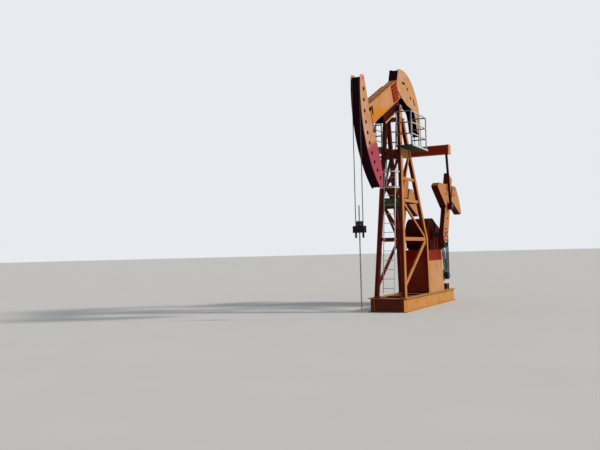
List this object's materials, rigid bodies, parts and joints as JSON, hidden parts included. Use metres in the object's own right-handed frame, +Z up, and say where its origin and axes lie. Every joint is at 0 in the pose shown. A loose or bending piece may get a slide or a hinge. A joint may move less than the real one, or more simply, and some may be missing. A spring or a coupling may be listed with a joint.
{
  "type": "pumpjack",
  "caption": "Beam pumping unit with a curved horsehead at each end of the beam, cranks with counterweights, gearbox, ladder tower and wire ropes.",
  "frame": {"origin": "middle of the machine on the ground, under the centre of its box", "axes": "+X from the well side to the rear, +Y to the left seen from the well, +Z up"},
  "size_m": [8.24, 2.291, 8.1125],
  "materials": {
    "skid_paint": "weathered gloss paint",
    "tower_paint": "weathered gloss paint",
    "beam_paint": "weathered gloss paint",
    "bracket_paint": "weathered gloss paint",
    "track_paint": "worn matt paint",
    "cross_beam_paint": "weathered gloss paint",
    "gearbox_paint": "oily gloss paint",
    "platform_paint": "worn matt paint",
    "rail_paint": "chalky paint",
    "motor_paint": "weathered paint",
    "machined_steel": "greased",
    "wheel_iron": "rough",
    "belt_rubber": "worn",
    "rope_steel": "greased strands",
    "carrier_paint": "weathered matt paint"
  },
  "bodies": {
    "base": {"skid_rails": "skid_paint", "skid_cross_members": "skid_paint", "gearbox_pedestal": "cross_beam_paint", "tower_left_frame": "tower_paint", "tower_right_frame": "tower_paint", "tower_front_bracing": "tower_paint", "tower_rear_bracing": "tower_paint", "tower_top_plate": "bracket_paint", "saddle_bearings": "bracket_paint", "work_platform": "platform_paint", "platform_rails": "rail_paint", "rest_platform": "platform_paint", "ladder": "rail_paint", "ladder_cage": "rail_paint", "gearbox_housing": "gearbox_paint", "gearbox_cover": "gearbox_paint", "input_shaft": "machined_steel", "large_sheave": "wheel_iron", "brake_drum": "wheel_iron", "motor": "motor_paint", "motor_mount": "skid_paint", "motor_pulley": "wheel_iron", "drive_belts": "belt_rubber"},
    "beam": {"walking_beam": "beam_paint", "beam_splice_plates": "cross_beam_paint", "saddle_bracket": "bracket_paint", "saddle_pin": "machined_steel", "front_head_plates": "beam_paint", "front_head_track": "track_paint", "rear_head_plates": "beam_paint", "rear_head_track": "track_paint"},
    "cranks": {"crank_left": "beam_paint", "crank_right": "beam_paint", "counterweights_left": "beam_paint", "counterweights_right": "beam_paint", "crank_shaft": "machined_steel", "crank_pins": "machined_steel"},
    "pitmans": {"pitman_left": "bracket_paint", "pitman_right": "bracket_paint", "cross_beam": "cross_beam_paint"},
    "rear_rope_pair": {"rear_ropes": "rope_steel"},
    "rod": {"front_ropes": "rope_steel", "carrier_bar": "carrier_paint", "rod_clamp": "carrier_paint", "polished_rod": "machined_steel"}
  },
  "joints": [
    {"name": "crank_turn", "type": "hinge", "parent": "base", "child": "cranks", "pos_m": [1.92, 0, 2.5], "axis": [0, 1, 0], "range_deg": [0, 180]},
    {"name": "beam_tilt", "type": "hinge", "parent": "base", "child": "beam", "pos_m": [-0.73, 0, 6.69], "axis": [0, 1, 0], "range_deg": [0, 52]},
    {"name": "pitman_turn", "type": "hinge", "parent": "cranks", "child": "pitmans", "pos_m": [2.31349, 0, 3.52507], "axis": [0, 1, 0], "range_deg": [-174.05, 0]},
    {"name": "rod_lift", "type": "slide", "parent": "base", "child": "rod", "axis": [0, 0, 1], "range_m": [0, 2.99498], "deforming": ["front_ropes"]},
    {"name": "rope_payout", "type": "slide", "parent": "pitmans", "child": "rear_rope_pair", "axis": [-0.1848, 0, 0.9828], "range_m": [0, 1.51842], "deforming": ["rear_ropes"]}
  ],
  "couplings": [
    {"joint": "beam_tilt", "follows": "crank_turn", "ratio": 0.28889},
    {"joint": "pitman_turn", "follows": "crank_turn", "ratio": -0.96695},
    {"joint": "rod_lift", "follows": "crank_turn", "m_per_rad": 0.95333},
    {"joint": "rope_payout", "follows": "crank_turn", "m_per_rad": 0.48333}
  ]
}
